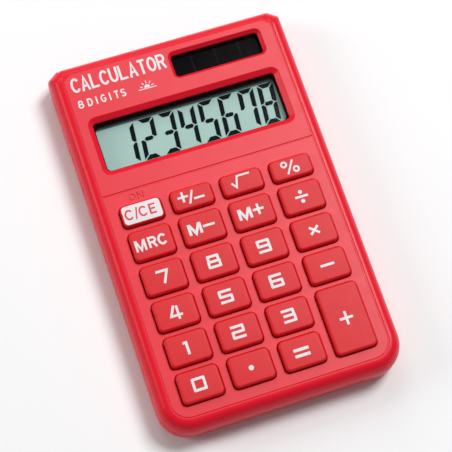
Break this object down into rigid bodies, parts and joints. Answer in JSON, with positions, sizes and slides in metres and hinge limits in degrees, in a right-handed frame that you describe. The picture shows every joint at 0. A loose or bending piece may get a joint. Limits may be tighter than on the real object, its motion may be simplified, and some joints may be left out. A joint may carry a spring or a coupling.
{
  "type": "pocket calculator",
  "caption": "Slim pocket calculator with a sloped-bezel digit display, a solar window and a grid of square keys that press down.",
  "frame": {"origin": "middle of the flat underside, on the surface that the calculator lies on", "axes": "+Z out of the face through the keys, +Y from the keypad towards the display and the solar window, +X to the right as the keys are read"},
  "size_m": [0.06, 0.0952, 0.0113],
  "materials": {
    "case_plastic": "moulded red ABS, semi-gloss with a fine matte grain",
    "key_plastic": "moulded red ABS, satin",
    "key_plastic_white": "moulded red ABS with a white printed top",
    "silicone_rubber": "grey silicone rubber with carbon pills",
    "circuit_board": "green solder mask on paper laminate",
    "black_epoxy": "black potting epoxy",
    "component_body": "tantalum capacitor body",
    "clear_plastic": "clear acrylic",
    "polarizer_film": "grey-green polarizing film",
    "display_glass": "thin float glass",
    "reflector_foil": "grey-green matte reflector foil",
    "connector_rubber": "layered conductive silicone",
    "solar_glass": "black amorphous silicon on glass",
    "lead_red": "red wire insulation",
    "lead_black": "black wire insulation",
    "cell_steel": "nickel-plated can",
    "contact_steel": "plated spring steel",
    "screw_steel": "zinc-plated steel",
    "white_print": "white pad-printed ink",
    "red_print": "red pad-printed ink",
    "display_ink": "black liquid crystal segments"
  },
  "bodies": {
    "case": {"front_shell": "case_plastic", "rear_shell": "case_plastic", "keypad_sheet": "silicone_rubber", "circuit_board": "circuit_board", "calculator_chip": "black_epoxy", "reserve_capacitor": "component_body", "timing_resistor": "black_epoxy", "clamp_diode": "black_epoxy", "display_window": "clear_plastic", "display_polarizer": "polarizer_film", "display_front_glass": "display_glass", "display_rear_glass": "display_glass", "display_reflector": "reflector_foil", "display_connector": "connector_rubber", "solar_window": "clear_plastic", "solar_cell": "solar_glass", "solar_lead_positive": "lead_red", "solar_lead_negative": "lead_black", "button_cell": "cell_steel", "battery_contact_negative": "contact_steel", "battery_contact_positive": "contact_steel", "case_screw_1": "screw_steel", "case_screw_2": "screw_steel", "case_screw_3": "screw_steel", "case_screw_4": "screw_steel", "case_screw_5": "screw_steel", "case_screw_6": "screw_steel", "board_screw_1": "screw_steel", "board_screw_2": "screw_steel", "board_screw_3": "screw_steel", "board_screw_4": "screw_steel"},
    "key_on_clear": {"key_on_clear": "key_plastic_white"},
    "key_change_sign": {"key_change_sign": "key_plastic"},
    "key_square_root": {"key_square_root": "key_plastic"},
    "key_percent": {"key_percent": "key_plastic"},
    "key_memory_recall": {"key_memory_recall": "key_plastic"},
    "key_memory_minus": {"key_memory_minus": "key_plastic"},
    "key_memory_plus": {"key_memory_plus": "key_plastic"},
    "key_divide": {"key_divide": "key_plastic"},
    "key_7": {"key_7": "key_plastic"},
    "key_8": {"key_8": "key_plastic"},
    "key_9": {"key_9": "key_plastic"},
    "key_multiply": {"key_multiply": "key_plastic"},
    "key_4": {"key_4": "key_plastic"},
    "key_5": {"key_5": "key_plastic"},
    "key_6": {"key_6": "key_plastic"},
    "key_minus": {"key_minus": "key_plastic"},
    "key_1": {"key_1": "key_plastic"},
    "key_2": {"key_2": "key_plastic"},
    "key_3": {"key_3": "key_plastic"},
    "key_0": {"key_0": "key_plastic"},
    "key_point": {"key_point": "key_plastic"},
    "key_equals": {"key_equals": "key_plastic"},
    "key_plus": {"key_plus": "key_plastic"}
  },
  "joints": [
    {"name": "key_on_clear_press", "type": "slide", "parent": "case", "child": "key_on_clear", "axis": [0, 0, -1], "range_m": [0, 0.001], "stiffness_N_per_m": 600, "springref_m": -0.0005, "deforming": ["keypad_sheet"]},
    {"name": "key_change_sign_press", "type": "slide", "parent": "case", "child": "key_change_sign", "axis": [0, 0, -1], "range_m": [0, 0.001], "stiffness_N_per_m": 600, "springref_m": -0.0005, "deforming": ["keypad_sheet"]},
    {"name": "key_square_root_press", "type": "slide", "parent": "case", "child": "key_square_root", "axis": [0, 0, -1], "range_m": [0, 0.001], "stiffness_N_per_m": 600, "springref_m": -0.0005, "deforming": ["keypad_sheet"]},
    {"name": "key_percent_press", "type": "slide", "parent": "case", "child": "key_percent", "axis": [0, 0, -1], "range_m": [0, 0.001], "stiffness_N_per_m": 600, "springref_m": -0.0005, "deforming": ["keypad_sheet"]},
    {"name": "key_memory_recall_press", "type": "slide", "parent": "case", "child": "key_memory_recall", "axis": [0, 0, -1], "range_m": [0, 0.001], "stiffness_N_per_m": 600, "springref_m": -0.0005, "deforming": ["keypad_sheet"]},
    {"name": "key_memory_minus_press", "type": "slide", "parent": "case", "child": "key_memory_minus", "axis": [0, 0, -1], "range_m": [0, 0.001], "stiffness_N_per_m": 600, "springref_m": -0.0005, "deforming": ["keypad_sheet"]},
    {"name": "key_memory_plus_press", "type": "slide", "parent": "case", "child": "key_memory_plus", "axis": [0, 0, -1], "range_m": [0, 0.001], "stiffness_N_per_m": 600, "springref_m": -0.0005, "deforming": ["keypad_sheet"]},
    {"name": "key_divide_press", "type": "slide", "parent": "case", "child": "key_divide", "axis": [0, 0, -1], "range_m": [0, 0.001], "stiffness_N_per_m": 600, "springref_m": -0.0005, "deforming": ["keypad_sheet"]},
    {"name": "key_7_press", "type": "slide", "parent": "case", "child": "key_7", "axis": [0, 0, -1], "range_m": [0, 0.001], "stiffness_N_per_m": 600, "springref_m": -0.0005, "deforming": ["keypad_sheet"]},
    {"name": "key_8_press", "type": "slide", "parent": "case", "child": "key_8", "axis": [0, 0, -1], "range_m": [0, 0.001], "stiffness_N_per_m": 600, "springref_m": -0.0005, "deforming": ["keypad_sheet"]},
    {"name": "key_9_press", "type": "slide", "parent": "case", "child": "key_9", "axis": [0, 0, -1], "range_m": [0, 0.001], "stiffness_N_per_m": 600, "springref_m": -0.0005, "deforming": ["keypad_sheet"]},
    {"name": "key_multiply_press", "type": "slide", "parent": "case", "child": "key_multiply", "axis": [0, 0, -1], "range_m": [0, 0.001], "stiffness_N_per_m": 600, "springref_m": -0.0005, "deforming": ["keypad_sheet"]},
    {"name": "key_4_press", "type": "slide", "parent": "case", "child": "key_4", "axis": [0, 0, -1], "range_m": [0, 0.001], "stiffness_N_per_m": 600, "springref_m": -0.0005, "deforming": ["keypad_sheet"]},
    {"name": "key_5_press", "type": "slide", "parent": "case", "child": "key_5", "axis": [0, 0, -1], "range_m": [0, 0.001], "stiffness_N_per_m": 600, "springref_m": -0.0005, "deforming": ["keypad_sheet"]},
    {"name": "key_6_press", "type": "slide", "parent": "case", "child": "key_6", "axis": [0, 0, -1], "range_m": [0, 0.001], "stiffness_N_per_m": 600, "springref_m": -0.0005, "deforming": ["keypad_sheet"]},
    {"name": "key_minus_press", "type": "slide", "parent": "case", "child": "key_minus", "axis": [0, 0, -1], "range_m": [0, 0.001], "stiffness_N_per_m": 600, "springref_m": -0.0005, "deforming": ["keypad_sheet"]},
    {"name": "key_1_press", "type": "slide", "parent": "case", "child": "key_1", "axis": [0, 0, -1], "range_m": [0, 0.001], "stiffness_N_per_m": 600, "springref_m": -0.0005, "deforming": ["keypad_sheet"]},
    {"name": "key_2_press", "type": "slide", "parent": "case", "child": "key_2", "axis": [0, 0, -1], "range_m": [0, 0.001], "stiffness_N_per_m": 600, "springref_m": -0.0005, "deforming": ["keypad_sheet"]},
    {"name": "key_3_press", "type": "slide", "parent": "case", "child": "key_3", "axis": [0, 0, -1], "range_m": [0, 0.001], "stiffness_N_per_m": 600, "springref_m": -0.0005, "deforming": ["keypad_sheet"]},
    {"name": "key_0_press", "type": "slide", "parent": "case", "child": "key_0", "axis": [0, 0, -1], "range_m": [0, 0.001], "stiffness_N_per_m": 600, "springref_m": -0.0005, "deforming": ["keypad_sheet"]},
    {"name": "key_point_press", "type": "slide", "parent": "case", "child": "key_point", "axis": [0, 0, -1], "range_m": [0, 0.001], "stiffness_N_per_m": 600, "springref_m": -0.0005, "deforming": ["keypad_sheet"]},
    {"name": "key_equals_press", "type": "slide", "parent": "case", "child": "key_equals", "axis": [0, 0, -1], "range_m": [0, 0.001], "stiffness_N_per_m": 600, "springref_m": -0.0005, "deforming": ["keypad_sheet"]},
    {"name": "key_plus_press", "type": "slide", "parent": "case", "child": "key_plus", "axis": [0, 0, -1], "range_m": [0, 0.001], "stiffness_N_per_m": 600, "springref_m": -0.0005, "deforming": ["keypad_sheet"]}
  ]
}
